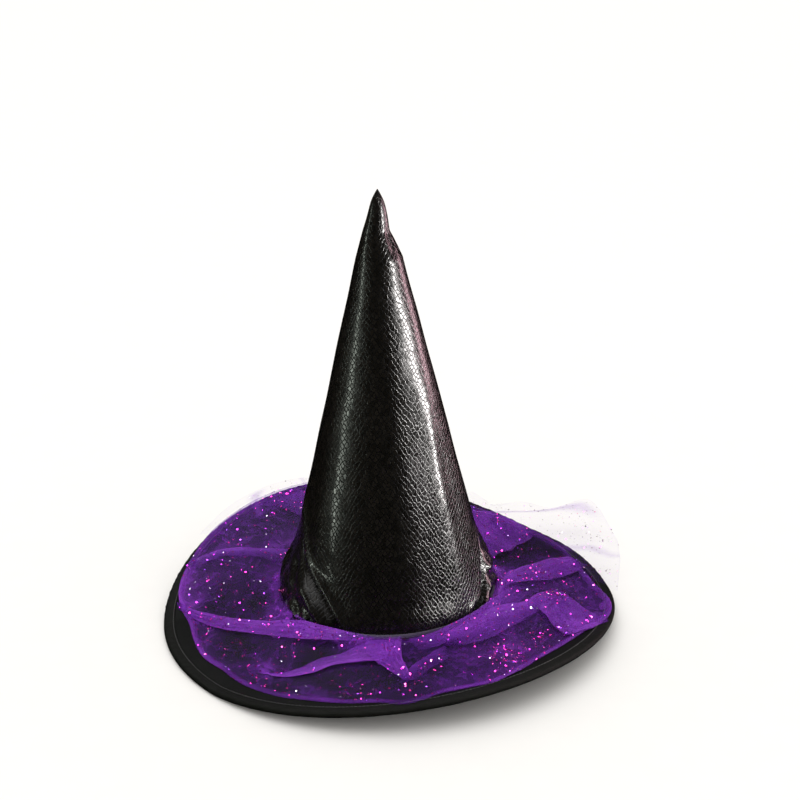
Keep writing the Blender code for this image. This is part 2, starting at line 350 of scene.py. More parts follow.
def foil_scale_material():
    """Black glossy vinyl embossed with rows of long diamond scales, each tilted its own way."""
    s = Shader("foil_scales")
    cells = scale_cells(s)
    edge = s.cells("DISTANCE_TO_EDGE", cells, 1.0, 0.45).outputs["Distance"]
    cell = s.cells("F1", cells, 1.0, 0.45).outputs["Color"]
    dome = s.span(edge, 0.02, 0.16, 0.0, 1.0, "SMOOTHSTEP")
    random = s.add("SeparateXYZ", {0: cell})
    tilt = s.vector("SCALE", s.vector("SUBTRACT", cell, HALF_GREY), 0.035)
    normal = s.vector("ADD", s.add("NewGeometry").outputs["Normal"], tilt)
    normal = s.vector("NORMALIZE", normal)
    broad = s.noise(s.place(), 30.0, 3.0).outputs["Fac"]
    normal = s.bump(broad, 0.0010, 0.25, normal)
    normal = s.bump(dome, 0.00014, 0.6, normal)
    tint = s.mix(random.outputs[0], (0.0040, 0.0034, 0.0024), (0.0095, 0.0078, 0.0058))
    tint = s.mix(dome, (0.0015, 0.0015, 0.0015), tint)
    scale_shine = s.span(random.outputs[1], 0.0, 1.0, 0.15, 0.22)
    groove_shine = s.span(dome, 0.0, 1.0, 0.16, 0.0)
    shine = s.math("ADD", scale_shine, groove_shine)
    return s.surface({"Base Color": tint, "Roughness": shine, "Normal": normal,
                      "Specular IOR Level": 0.5})


def weave_bump(s, vector, pitch, distance, normal=None):
    """Crossed threads at the given pitch."""
    flat = s.add("SeparateXYZ", {0: vector})
    turn = 2 * math.pi / pitch
    warp = s.math("SINE", s.math("MULTIPLY", flat.outputs[0], turn))
    weft = s.math("SINE", s.math("MULTIPLY", flat.outputs[1], turn))
    return s.bump(s.math("MULTIPLY", warp, weft), distance, 0.6, normal)


def satin_material(name, color, pitch=0.0006):
    """Satin with a fine weave, slubs and soft creases."""
    s = Shader(name)
    broad = s.noise(s.place(), 22.0, 4.0).outputs["Fac"]
    fine = s.noise(s.place(), 900.0, 2.0).outputs["Fac"]
    normal = s.bump(broad, 0.0016, 0.5)
    normal = weave_bump(s, s.uv(), pitch, 0.00008, normal)
    light = tuple(min(1.0, c * 2.6) for c in color)
    tint = s.mix(s.math("MULTIPLY", fine, broad), color, light)
    rough = s.span(broad, 0.3, 0.7, 0.50, 0.66)
    return s.surface({"Base Color": tint, "Roughness": rough, "Normal": normal,
                      "Specular IOR Level": 0.07})


def ribbon_material(name, color, pitch=0.0011):
    """Grosgrain: ribs across the ribbon, with painted shade darkening the troughs between them."""
    s = Shader(name)
    flat = s.add("SeparateXYZ", {0: s.uv()})
    rib = s.math("SINE", s.math("MULTIPLY", flat.outputs[0], 2 * math.pi / pitch))
    grain = s.noise(s.uv(), 2500.0, 2.0).outputs["Fac"]
    normal = s.bump(rib, 0.00022, 0.8, s.bump(grain, 0.0001, 0.5))
    # Painted shade: the colour falls to half in the rib troughs.
    shade = s.mix(s.span(rib, -1.0, 1.0, 0.0, 1.0), tuple(c * 0.5 for c in color), color)
    return s.surface({"Base Color": shade, "Roughness": 0.62, "Normal": normal, "Sheen Weight": 0.2})


def felt_material(name, color):
    """Needled felt: matted fibres and a mottled tone."""
    s = Shader(name)
    fibre = s.noise(s.place(), 1400.0, 5.0, 0.7).outputs["Fac"]
    patch = s.noise(s.place(), 60.0, 3.0).outputs["Fac"]
    dark, light = (tuple(c * share for c in color) for share in (0.55, 1.9))
    tint = s.mix(s.math("MULTIPLY", fibre, patch), dark, light)
    normal = s.bump(fibre, 0.0004, 0.7)
    return s.surface({"Base Color": tint, "Roughness": 0.93, "Normal": normal, "Sheen Weight": 0.35,
                      "Sheen Roughness": 0.6})


def thread_material(name, color):
    """Twisted sewing thread, with painted shade darkening the grooves of the twist."""
    s = Shader(name)
    inputs = {"Vector": s.place(), "Scale": 900.0, "Distortion": 0.5}
    twist = s.add("TexWave", inputs, bands_direction="DIAGONAL").outputs["Fac"]
    # Painted shade: the colour falls to half in the twist's grooves.
    shade = s.mix(twist, tuple(c * 0.5 for c in color), color)
    normal = s.bump(twist, 0.0001, 0.6)
    return s.surface({"Base Color": shade, "Roughness": 0.5, "Normal": normal, "Sheen Weight": 0.2})


def metal_material(name, color, rough):
    """Drawn or crimped metal with faint scratches."""
    s = Shader(name)
    scratch = s.noise(s.place(), 700.0, 4.0, 0.7).outputs["Fac"]
    shine = s.span(scratch, 0.3, 0.7, rough * 0.7, rough * 1.3)
    tint = s.mix(scratch, tuple(c * 0.75 for c in color), color)
    return s.surface({"Base Color": tint, "Metallic": 1.0, "Roughness": shine,
                      "Normal": s.bump(scratch, 0.00005, 0.5)})


NET_PITCH = 0.0010              # one hole of the tulle


def tulle_material(name, color, thin_color):
    """Fine net. The mesh attribute cover says how much of what lies behind one ply hides."""
    s = Shader(name)
    cover = s.add("Attribute", attribute_name="cover").outputs["Fac"]
    edge = s.cells("DISTANCE_TO_EDGE", s.uv(), 1 / NET_PITCH, 0.25).outputs["Distance"]
    thread = s.span(edge, 0.02, 0.14, 1.25, 0.85, "SMOOTHSTEP")
    cloud = s.noise(s.place(), 55.0, 4.0, 0.6).outputs["Fac"]
    stretched = s.add("Mapping", {"Vector": s.uv(), "Scale": (14.0, 420.0, 1.0)}).outputs[0]
    streak = s.noise(stretched, 1.0, 3.0, 0.6).outputs["Fac"]
    cloudy = s.span(cloud, 0.25, 0.75, 0.72, 1.28)
    streaky = s.span(streak, 0.30, 0.70, 0.82, 1.18)
    share = s.math("MULTIPLY", cloudy, streaky)
    alpha = s.math("MULTIPLY", s.math("MULTIPLY", cover, share), thread)
    alpha = s.math("MINIMUM", alpha, 0.96)
    tint = s.mix(s.span(cover, 0.05, 0.40, 0.0, 1.0), thin_color, color)
    normal = s.bump(streak, 0.0006, 0.5)
    return s.surface({"Base Color": tint, "Roughness": 0.55, "Normal": normal, "Alpha": alpha,
                      "Specular IOR Level": 0.10, "Sheen Weight": 0.04,
                      "Sheen Tint": (0.7, 0.3, 1.0, 1.0)})


def glitter_material(name):
    """Metal flakes whose colour is stored on the mesh, from violet to magenta and silver."""
    s = Shader(name)
    tint = s.add("Attribute", attribute_name="flake").outputs["Color"]
    speck = s.noise(s.place(), 3000.0, 2.0).outputs["Fac"]
    shine = s.span(speck, 0.3, 0.7, 0.08, 0.2)
    return s.surface({"Base Color": tint, "Metallic": 0.9, "Roughness": shine})


# ---------------------------------------------------------------- crown

CROWN_ROWS = 166
CROWN_COLUMNS = 300
VINYL_THICKNESS = 0.0007

# The slumped tip in section: distance below the top, and its reach to the left and to the right
TIP_LEFT = ((0.0, 0.0003), (0.0024, 0.0018), (0.0093, 0.0053), (0.0161, 0.0074), (0.0230, 0.0094),
            (0.0333, 0.0128), (0.0435, 0.0158), (0.0573, 0.0197))
TIP_RIGHT = ((0.0, 0.0003), (0.0024, 0.0016), (0.0093, 0.0048), (0.0161, 0.0066), (0.0230, 0.0078),
             (0.0298, 0.0086), (0.0333, 0.0090), (0.0401, 0.0122), (0.0504, 0.0168), (0.0573, 0.0197))
TIP_DEPTH = 0.0573

# Creases at the crown's foot: height over the brim and turn, from the hem upwards
LEFT_CREASE = ((0.0, -24.0), (0.014, -29.0), (0.023, -35.0), (0.033, -42.0), (0.043, -50.0),
               (0.053, -61.0), (0.080, -78.0), (0.110, -92.0))
RIGHT_CREASE = ((0.0, 50.0), (0.010, 58.0), (0.015, 66.0), (0.030, 73.0), (0.050, 80.0), (0.080, 92.0))

# Each crease with the side it opens to, how far the slack cloth swells there and the ridge beside it
CREASED_SIDES = ((LEFT_CREASE, -1, 0.0070, 0.0026), (RIGHT_CREASE, 1, 0.0050, 0.0010))


def rumples(turn, height):
    """Slack cloth at the crown's foot: short soft creases that lean outwards, from -1 to 1."""
    lean = turn + 420.0 * height
    spots = np.stack([np.cos(np.radians(lean)), np.sin(np.radians(lean)), height * 9.0], -1)
    return np.clip(smooth_noise(spots, 9.0, 4.0) * 1.6, -1.0, 1.0)


def ripple(turn, count, start):
    """A sine with so many waves round the hat, begun at an angle in degrees."""
    return np.sin(np.radians(turn * count + start))


def crown_relief(turn, height):
    """How far the cloth stands off the straight cone."""
    low = 1 - ramp(height, 0.08, 0.26)
    folds = 0.0005 * low * ripple(turn, 7, 40) + 0.0003 * low * ripple(turn, 11, -70)
    folds += 0.0004 * (1 - ramp(height, 0.24, 0.32)) * ripple(turn, 5, 400 * height)
    valley = ramp(height, 0.02, 0.06) * (1 - ramp(height, 0.12, 0.2))
    folds += 0.0010 * valley * (bump(angle_gap(turn, 76), 0, 8) - bump(angle_gap(turn, 57), 0, 7))
    for points, side, swell, ridge in CREASED_SIDES:
        gap = angle_gap(turn, np.interp(height, *zip(*points))) * side
        fade = 1 - ramp(height, points[-1][0] * 0.75, points[-1][0])
        folds -= 0.0042 * bump(gap, 0.6, 1.7) * fade
        folds += ridge * bump(gap, -4.0, 4.5) * fade
        outside = ramp(gap, 0.5, 9.0) * (1 - ramp(gap, 45.0, 95.0))
        folds += swell * outside * bump(height, 0.020, 0.026) * fade
        folds += 0.0030 * outside * rumples(turn, height) * (1 - ramp(height, 0.030, 0.065))
    return folds + seam_relief(turn, height) + hem_relief(turn, height)


def seam_relief(turn, height):
    """The back seam: a groove between two pressed allowances."""
    across = np.radians(angle_gap(turn, 180.0)) * cone_radius(RING_Z + height)
    return 0.0004 * bump(np.abs(across), 0.0030, 0.0016) - 0.0006 * bump(across, 0.0, 0.0009)


def hem_relief(turn, height):
    """The front panel rolls over the hem, and the hem tucks in under it."""
    front = near_turn(turn, 0, 30.0, 50.0)
    return front * (0.0020 * bump(height, 0.014, 0.012) - 0.0006 * bump(height, 0.001, 0.004))


def crown_wall(turn, z):
    """Radius of the crown cloth's outer face."""
    straight = cone_radius(z)
    x, y = around(straight, turn)
    soft = smooth_noise(np.stack([x, y, z], -1), 22.0) * 0.0007
    below = APEX_Z - z
    body = straight + crown_relief(turn, z - RING_Z) + soft * ramp(below, 0.02, 0.09)
    left, right = through(TIP_LEFT, below), through(TIP_RIGHT, below)
    slumped = (left + right) / 2 + (right - left) / 2 * np.sin(np.radians(turn))
    slumped -= 0.0014 * bump(angle_gap(turn, 48), 0, 13) * bump(below, 0.041, 0.009)
    on_tip = 1 - ramp(below, TIP_DEPTH - 0.006, TIP_DEPTH + 0.004)
    return body * (1 - on_tip) + slumped * on_tip


def flat_cone_map(z, columns):
    """Where each point of the cone lay in the flat cloth. The cut seam is at the back."""
    slant = math.hypot(CONE_HEIGHT, CROWN_RADIUS)
    along = (RING_Z + CONE_HEIGHT - z) * slant / CONE_HEIGHT
    fan = np.radians(np.linspace(-180.0, 180.0, columns + 1)) * CROWN_RADIUS / slant
    return np.stack([along[:, None] * np.sin(fan)[None, :], -along[:, None] * np.cos(fan)[None, :]], -1)


def make_crown(look):
    """The scale-print cloth: one sheet over the cone and its tip, across the crease."""
    share = np.linspace(0.0, 1.0, CROWN_ROWS)
    z = HEM_Z + (APEX_Z - HEM_Z) * (share - 0.04 * np.sin(2 * math.pi * share))
    turn = 180.0 + np.arange(CROWN_COLUMNS) * 360.0 / CROWN_COLUMNS
    zz, tt = np.meshgrid(z, turn, indexing="ij")
    x, y = around(crown_wall(tt, zz), tt)
    uv = flat_cone_map(z, CROWN_COLUMNS)
    cloth = add_grid("crown_cloth", np.stack([x, y, zz], -1), uv, wrap_cols=True)
    thicken(cloth, VINYL_THICKNESS, -1.0)
    finish_piece(cloth, look, None, ("crown_shell", "crown_tip"))
    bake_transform(cloth)


def lining_wall(turn, z, depth):
    """Radius of a layer inside the crown, depth under both the cloth and the straight cone."""
    return np.minimum(cone_radius(z), crown_wall(turn, z)) - depth


def lining_ring(name, low, high, rows, depth, thickness, turns=160):
    """A closed ring that follows the crown cloth from inside."""
    z = np.linspace(low, high, rows)
    turn = np.arange(turns) * 360.0 / turns
    zz, tt = np.meshgrid(z, turn, indexing="ij")
    face = lining_wall(tt, zz, depth)
    z_all = np.concatenate([zz, zz[::-1]])
    radius = np.concatenate([face, face[::-1] - thickness])
    t_all = np.concatenate([tt, tt[::-1]])
    x, y = around(radius, t_all)
    run = np.concatenate([z, 2 * high - z[::-1], [2 * high - low + thickness]])
    girth = np.arange(turns + 1) * 2 * math.pi * float(face.mean()) / turns
    uv = np.stack(np.meshgrid(run, girth, indexing="ij")[::-1], -1)
    return add_grid(name, np.stack([x, y, z_all], -1), uv, True, True)


def make_crown_inside(felt, ribbon, thread):
    """Interlining, sweatband and its stitches."""
    stiffener = lining_ring("crown_interlining", HEM_Z, CREASE_Z - STIFFENER_STOP, 60,
                            STIFFENER_DEPTH, STIFFENER_THICKNESS)
    finish_piece(stiffener, felt, "hat", ("crown_stiffener",))
    band = lining_ring("sweatband_ribbon", HEM_Z, SWEATBAND_TOP, 16,
                       SWEATBAND_DEPTH, SWEATBAND_THICKNESS)
    finish_piece(band, ribbon, "hat", ("sweatband",))

    def seam(turn):
        wall = lining_wall(np.array([turn]), np.array([SWEATBAND_SEAM]), SWEATBAND_DEPTH + 0.0010)
        return float(wall[0]), SWEATBAND_SEAM

    stitches = stitch_row("sweatband_stitches", seam, 0.0034)
    finish_piece(stitches, thread, "hat", ("sweatband_stitching",))


def make_seam_tape(ribbon):
    """The ribbon over the back seam, laid on the interlining, its edges a little rippled."""
    z = np.linspace(SEAM_TAPE_LOW, SEAM_TAPE_HIGH, 120)
    zz, side = np.meshgrid(z, np.linspace(-1.0, 1.0, 15), indexing="ij")
    turn = 180.0 + np.degrees(side * SEAM_TAPE_HALF / cone_radius(zz))
    lift = 0.00025 * (1 + np.sin(zz * 520)) * np.abs(side) ** 3
    x, y = around(lining_wall(turn, zz, SEAM_TAPE_DEPTH) - lift, turn)
    uv = np.stack([zz, side * SEAM_TAPE_HALF], -1)
    tape = add_grid("seam_tape_ribbon", np.stack([x, y, zz], -1), uv, flip=True)
    thicken(tape, SEAM_TAPE_THICKNESS, 1.0)
    finish_piece(tape, ribbon, "hat", ("crown_seam_tape",))


# One stitch: place along its length, in pitches, and fatness there
STITCH_RINGS = ((-0.40, 0.35), (-0.30, 0.95), (0.0, 1.0), (0.30, 0.95), (0.40, 0.35))
STITCH_SIDES = 6
STITCH_RADIUS = 0.00025


def add_stitch(verts, faces, place, turn, step):
    """One tapered capsule whose ends sink into the cloth. place(turn) gives radius and height."""
    start = len(verts)
    for offset, fat in STITCH_RINGS:
        t = turn + offset * step
        r, z = place(t)
        sink = STITCH_RADIUS * 0.9 * (abs(offset) / 0.40) ** 2
        for side in range(STITCH_SIDES):
            a = 2 * math.pi * side / STITCH_SIDES
            x, y = around(r + STITCH_RADIUS * fat * math.cos(a), t)
            verts.append((x, y, z - sink + STITCH_RADIUS * fat * math.sin(a)))
    for i in range(len(STITCH_RINGS) - 1):
        a, b = start + i * STITCH_SIDES, start + (i + 1) * STITCH_SIDES
        for side in range(STITCH_SIDES):
            j = (side + 1) % STITCH_SIDES
            faces.append((a + side, b + side, b + j, a + j))
    last = len(verts) - STITCH_SIDES
    faces.append(tuple(range(start, start + STITCH_SIDES)))
    faces.append(tuple(range(last + STITCH_SIDES - 1, last - 1, -1)))


def stitch_row(name, place, pitch):
    """Separate stitches laid in a row round the hat."""
    radius, _ = place(0.0)
    count = int(2 * math.pi * radius / pitch)
    verts, faces = [], []
    for n in range(count):
        add_stitch(verts, faces, place, 360.0 * n / count, 360.0 / count)
    return add_mesh(name, np.array(verts), faces)


# ---------------------------------------------------------------- brim


def brim_section(low, high, stations=26):
    """Section of a layer of the brim: out along its top and back along its underside."""
    radii = np.linspace(HOLE_RADIUS, RIM_RADIUS - STACK_INSET, stations)
    return [(r, high) for r in radii] + [(r, low) for r in radii[::-1]]


def brim_relief(radius, turn):
    """The brim's wave, with the soft unevenness of sewn cloth."""
    uneven = 0.00012 * ripple(turn, 23, 0) + 0.0001 * ripple(turn, 41, 60)
    return brim_z(radius, turn) + uneven * ramp(radius, 0.12, 0.19)


def binding_section():
    """The binding's C section, open towards the crown."""
    lip, nose = RIM_RADIUS - BINDING_WIDTH, RIM_RADIUS - BINDING_HALF
    inside = BINDING_HALF - BINDING_WALL
    arc = np.radians(np.linspace(80, -80, 13))
    section = [(r, BINDING_HALF) for r in np.linspace(lip, nose, 7)]
    section += [(nose + BINDING_HALF * math.cos(a), BINDING_HALF * math.sin(a)) for a in arc]
    section += [(r, -BINDING_HALF) for r in np.linspace(nose, lip, 7)]
    section += [(r, -inside) for r in np.linspace(lip, nose, 4)]
    section += [(nose + inside * math.cos(a), inside * math.sin(a)) for a in arc[::-1]]
    return section + [(r, inside) for r in np.linspace(nose, lip, 4)]


def make_brim(satin, under, tape, thread):
    """The two brim fabrics, the binding and its stitches."""
    inner = CORE_HALF + LAYER_GAP
    top = add_ring("brim_satin", brim_section(inner, STACK_HALF), 288, brim_relief)
    finish_piece(top, satin, "hat", ("brim_top_fabric",))
    low = add_ring("brim_underside", brim_section(-STACK_HALF, -inner), 288, brim_relief)
    finish_piece(low, under, "hat", ("brim_underside_fabric",))
    binding = add_ring("brim_binding", binding_section(), 480, brim_z)
    pucker_binding(binding)
    finish_piece(binding, tape, "hat", ("edge_binding",))

    def seam(turn):
        return BINDING_SEAM, float(brim_z(BINDING_SEAM, turn)) + BINDING_HALF + 0.0002

    stitches = stitch_row("binding_stitches", seam, 0.0032)
    finish_piece(stitches, thread, "hat", ("binding_stitching",))


def pucker_binding(binding):
    """Small gathers where the straight tape was eased round the rim, none on its underside."""
    co = positions(binding.data)
    radius, turn = polar(co[:, 0], co[:, 1])
    height = co[:, 2] - brim_z(radius, turn)
    wave = smooth_noise(np.stack([np.radians(turn), radius * 4, radius * 0], -1), 60.0)
    upper = ramp(height, -0.0005, 0.0015)
    co[:, 2] += wave * 0.0005 * upper
    scale = 1 + wave * 0.0006 * upper / np.maximum(radius, 0.1)
    co[:, :2] *= scale[:, None]
    binding.data.vertices.foreach_set("co", co.ravel())


# ---------------------------------------------------------------- tulle

RUFFLE_COLUMNS = 640
RUFFLE_ROWS_TOP = 52
RUFFLE_ROWS_UNDER = 16
PLY_GAP = 0.0004                # the tulle's lowest ply over the brim
LYING_HEIGHT = 0.0036           # the upper ply over the brim's mid surface, where it lies flat
FOLD_NOSE = 0.0012              # half the tulle's thickness at its outer fold
GATHERED_EDGE = CROWN_RADIUS + 0.0026

# Outer fold of the tulle: turn from the front and radius
RUFFLE_EDGE = ((-178, 0.190), (-150, 0.197), (-128, 0.198), (-108, 0.194), (-93, 0.190),
               (-86, 0.184), (-80, 0.179), (-68, 0.179), (-59, 0.181), (-49, 0.178), (-40, 0.181),
               (-30, 0.184), (-20, 0.184), (-9, 0.187), (-2, 0.189), (3, 0.195), (8, 0.193),
               (13, 0.188), (20, 0.190), (25, 0.192), (33, 0.188), (41, 0.183), (52, 0.183),
               (62, 0.187), (71, 0.196), (80, 0.197), (92, 0.190), (106, 0.186), (125, 0.193),
               (150, 0.191), (168, 0.186))

# Height of the gathered roll at the crown: turn and height over the brim, in metres
COLLAR = ((-160, 0.009), (-107, 0.010), (-60, 0.012), (-35, 0.012), (-15, 0.009), (-4, 0.0055),
          (16, 0.0050), (30, 0.010), (55, 0.012), (80, 0.010), (110, 0.010), (150, 0.009))

# Folds laid over the ruffle: the edge nearer the crown, the edge nearer the rim, and how dense a ply
# is at each. Points of an edge are turn in degrees, radius in mm and height over the brim in mm.
FOLDS = {
    "left_spiral": (
        ((-90, 190, 3.6), (-85, 175, 4.2), (-78, 157, 4.9), (-70, 139, 5.5), (-61, 122, 6.7),
         (-46, 104, 12), (-27, 100, 13), (-6, 100, 9)),
        ((-87, 188, 3), (-83, 179, 3), (-76, 168, 3.6), (-67, 153, 4.2), (-56, 134, 4.9),
         (-44, 121, 5.5), (-29, 112, 8), (-9, 106, 8)),
        (0.42, 0.3),
    ),
    "front_left": (
        ((5, 99, 7), (-9, 106, 9), (-18, 122, 6.1), (-25, 134, 5.5), (-29, 149, 4.9),
         (-33, 158, 4.2), (-42, 166, 3.6)),
        ((2, 142, 4.9), (-2, 133, 5.5), (-13, 134, 5.5), (-19, 139, 4.9), (-24, 151, 4.2),
         (-30, 160, 3.6), (-43, 167, 3.6)),
        (0.2, 0.42),
    ),
    "front_point": (
        ((6, 100, 9), (5, 120, 7.3), (5, 136, 6.7), (6, 148, 5.5), (6, 161, 3.6)),
        ((-11, 103, 9), (-9, 120, 7.3), (-4, 135, 6.7), (0, 146, 5.5), (5, 162, 3.6)),
        (0.42, 0.26),
    ),
    "right_foot": (
        ((9, 101, 7), (20, 102, 10), (33, 99, 12), (45, 99, 13), (58, 99, 13), (71, 103, 12),
         (82, 113, 10)),
        ((12, 119, 4.2), (22, 118, 6), (34, 112, 8), (46, 110, 9), (58, 113, 9), (68, 120, 6.7),
         (79, 124, 6.1)),
        (0.26, 0.16),
    ),
    "right_sweep": (
        ((21, 112, 9), (36, 103, 11), (51, 103, 12), (61, 113, 12), (70, 124, 8), (79, 132, 7.3),
         (86, 148, 6.7)),
        ((24, 120, 4.9), (31, 128, 5.5), (40, 132, 5.5), (49, 132, 6.1), (58, 135, 6.1),
         (67, 140, 6.1), (78, 154, 5.5)),
        (0.44, 0.14),
    ),
    "right_facet": (
        ((72, 130, 8), (80, 140, 8), (84, 152, 7.3), (79, 163, 6.7), (73, 180, 5.5),
         (71, 197, 3.6)),
        ((69, 134, 7.3), (64, 148, 6.7), (58, 163, 6.1), (56, 178, 4.9), (62, 187, 4.2),
         (70, 198, 3.6)),
        (0.26, 0.38),
    ),
    "right_upper": (
        ((86, 100, 9), (95, 108, 10), (103, 126, 7.3), (107, 145, 7.3), (111, 168, 6.7),
         (112, 183, 5.5), (108, 193, 3.6)),
        ((80, 101, 8), (86, 110, 8), (90, 122, 6.1), (92, 136, 6.1), (96, 154, 5.5),
         (101, 171, 4.9), (107, 193, 3.6)),
        (0.36, 0.22),
    ),
    "rear_right": (
        ((160, 101, 9), (158, 130, 7.3), (155, 158, 6.7), (151, 180, 6.1), (145, 192, 5.5),
         (133, 194, 4.9)),
        ((112, 102, 8), (117, 116, 8), (120, 131, 5.5), (124, 148, 4.9), (127, 168, 4.2),
         (131, 190, 4.2)),
        (0.34, 0.22),
    ),
    "small_roll": (
        ((4, 152, 4.9), (9, 139, 5.5), (16, 127, 6.1), (23, 120, 6.1)),
        ((3, 166, 3.6), (8, 160, 4.2), (13, 150, 4.9), (20, 140, 4.9)),
        (0.18, 0.08),
    ),
    "left_upper": (
        ((-106, 197, 3.6), (-111, 184, 4.9), (-115, 170, 5.5), (-118, 154, 6.1), (-121, 136, 6.1),
         (-124, 118, 8), (-128, 104, 8)),
        ((-103, 190, 3), (-108, 178, 3.6), (-112, 166, 4.2), (-114, 151, 4.2), (-115, 133, 4.9),
         (-113, 114, 7), (-112, 102, 8)),
        (0.26, 0.08),
    ),
    "rear_left": (
        ((-152, 192, 3.6), (-155, 172, 5.5), (-158, 148, 6.1), (-163, 122, 6.7), (-170, 103, 8)),
        ((-136, 194, 3.6), (-142, 174, 4.2), (-146, 150, 4.9), (-148, 126, 5.5), (-148, 104, 8)),
        (0.3, 0.12),
    ),
    "rear_middle": (
        ((176, 188, 3.6), (172, 168, 5.5), (170, 146, 6.1), (172, 122, 6.7), (178, 103, 8)),
        ((-170, 190, 3.6), (-174, 170, 4.2), (-177, 148, 4.9), (-175, 124, 5.5), (-168, 104, 8)),
        (0.12, 0.3),
    ),
}


def ruffle_height(radius, turn):
    """Height of the tulle's upper layer over the brim's mid surface."""
    out = radius - HOLE_RADIUS
    collar = through(COLLAR, (turn + 180.0) % 360.0 - 180.0, periodic=360.0)
    rise = ramp(out, 0.0, 0.006)
    fall = 1 - ramp(out, 0.007, 0.026)
    height = LYING_HEIGHT + (collar - LYING_HEIGHT) * rise * fall
    gathers = 0.0009 * (1 - ramp(out, 0.006, 0.045))
    height = height + gathers * ripple(turn, 67, 25 * ripple(turn, 9, 0)) * rise
    swirl = turn + 700.0 * out
    waves = 0.0007 * ripple(swirl, 6, 50) + 0.0006 * ripple(swirl, 17, -80)
    return height + waves * ramp(out, 0.010, 0.030) * (1 - 0.8 * ramp(radius, 0.165, 0.195))


def make_creases(count=90):
    """Fine creases of the base ply: where each starts, how it runs, its length, side and depth."""
    rng = np.random.default_rng(8)
    turn = rng.uniform(-180, 180, count)
    radius = rng.uniform(0.100, 0.185, count)
    slope = rng.uniform(-1.0, 1.0, count) ** 3 * 1.2 + 0.25
    length = rng.uniform(0.012, 0.040, count)
    side = rng.choice((-1.0, 1.0), count)
    depth = rng.uniform(0.5, 1.0, count)
    return np.stack([turn, radius, slope, length, side, depth], -1)


CREASES = make_creases()


def crease_field(radius, turn):
    """Sum of the creases at each point: sharp on one side and fading over 5 mm on the other."""
    total = np.zeros(np.broadcast(radius, turn).shape)
    for start, r0, slope, length, side, depth in CREASES:
        round_way = np.radians(angle_gap(turn, start)) * r0
        out_way = radius - r0
        along = round_way * math.cos(slope) + out_way * math.sin(slope)
        across = (out_way * math.cos(slope) - round_way * math.sin(slope) - 6.0 * along * along) * side
        shape = np.exp(-np.maximum(across, 0.0) / 0.0050 + np.minimum(across, 0.0) / 0.0009)
        total += depth * shape * np.exp(-((along / length) ** 2))
    return total


def ruffle_section(turn, edge):
    """Radius and height over the brim of every row: out on top, round the nose and back below."""
    floor_ply = STACK_HALF + PLY_GAP
    rows = []
    for share in np.linspace(0.0, 1.0, RUFFLE_ROWS_TOP):
        radius = GATHERED_EDGE + (edge - FOLD_NOSE - GATHERED_EDGE) * share ** 1.15
        lying = ramp(share, 0.80, 1.0)
        height = ruffle_height(radius, turn) * (1 - lying) + lying * (floor_ply + 2 * FOLD_NOSE)
        rows.append((radius, height))
    for a in np.radians(np.linspace(60, -60, 5)):
        nose = floor_ply + FOLD_NOSE * (1 + math.sin(a))
        rows.append((edge + FOLD_NOSE * (math.cos(a) - 1), nose + turn * 0))
    for share in np.linspace(0.0, 1.0, RUFFLE_ROWS_UNDER):
        radius = edge - FOLD_NOSE + (GATHERED_EDGE - edge + FOLD_NOSE) * share
        rows.append((radius, floor_ply + turn * 0))
    return (np.array(values) for values in zip(*rows))


def ruffle_sheet():
    """The folded strip: out from the crown on top, under at the rim, and back along the brim."""
    turn = np.arange(RUFFLE_COLUMNS) * 360.0 / RUFFLE_COLUMNS - 180.0
    edge = through(RUFFLE_EDGE, turn, periodic=360.0)
    x, y = around(1.0, turn)
    edge = edge + 0.0012 * smooth_noise(np.stack([x, y, 0 * x], -1), 5.0, 2.0)
    radius, height = ruffle_section(turn, edge)
    turns = np.broadcast_to(turn, radius.shape)
    x, y = around(radius, turns)
    points = np.stack([x, y, brim_z(radius, turns) + over_binding(radius) + height], -1)
    crumple = smooth_noise(points, 60.0, 3.0) * 0.0012 + smooth_noise(points, 150.0, 9.0) * 0.0006
    crumple = np.maximum(crumple, -0.0005) + 0.0009 * np.minimum(crease_field(radius, turns), 1.5)
    inward = 1 - ramp(radius, 0.17, 0.19)
    top = (np.arange(len(radius)) < RUFFLE_ROWS_TOP)[:, None]
    points[..., 2] += np.where(top, crumple * inward, 0.0)
    return points, radius, turns, edge


def upper_height(sheet):
    """Function that reads how high the settled sheet's top is over a plan position."""
    corners = [v.co.copy() for v in sheet.data.vertices]
    tree = BVHTree.FromPolygons(corners, [tuple(p.vertices) for p in sheet.data.polygons])

    def read(x, y, otherwise):
        hit = tree.ray_cast(Vector((x, y, 0.2)), Vector((0.0, 0.0, -1.0)))[0]
        return hit.z if hit else otherwise

    return np.vectorize(read)


def add_cloth(trial, fullness, frames):
    """Set light limp net up as a simulation that has more cloth than its outline needs."""
    cloth = trial.modifiers.new("settle", "CLOTH")
    cloth.settings.vertex_group_mass = "held"
    cloth.settings.quality = 6
    cloth.settings.mass = 0.02
    cloth.settings.tension_stiffness = 12.0
    cloth.settings.compression_stiffness = 12.0
    cloth.settings.shear_stiffness = 4.0
    cloth.settings.bending_stiffness = 0.02
    cloth.settings.shrink_min = -fullness
    cloth.settings.effector_weights.gravity = 0.4
    cloth.collision_settings.distance_min = 0.0006
    cloth.point_cache.frame_end = frames


def refine_ring(moved, rows, cols):
    """Spread the movement of every second point of a ring-shaped grid to all of them."""
    coarse_rows, coarse_cols = moved.shape[:2]
    moved = np.concatenate([moved, moved[:, :1]], axis=1)
    at_col = np.arange(cols) / 2
    at_row = np.minimum(np.arange(rows) / 2, coarse_rows - 1)
    old_col, old_row = np.arange(coarse_cols + 1), np.arange(coarse_rows)
    wide = np.stack([[np.interp(at_col, old_col, row[:, k]) for k in range(3)] for row in moved])
    tall = [[np.interp(at_row, old_row, wide[:, k, c]) for k in range(3)] for c in range(cols)]
    return np.array(tall).transpose(2, 0, 1)


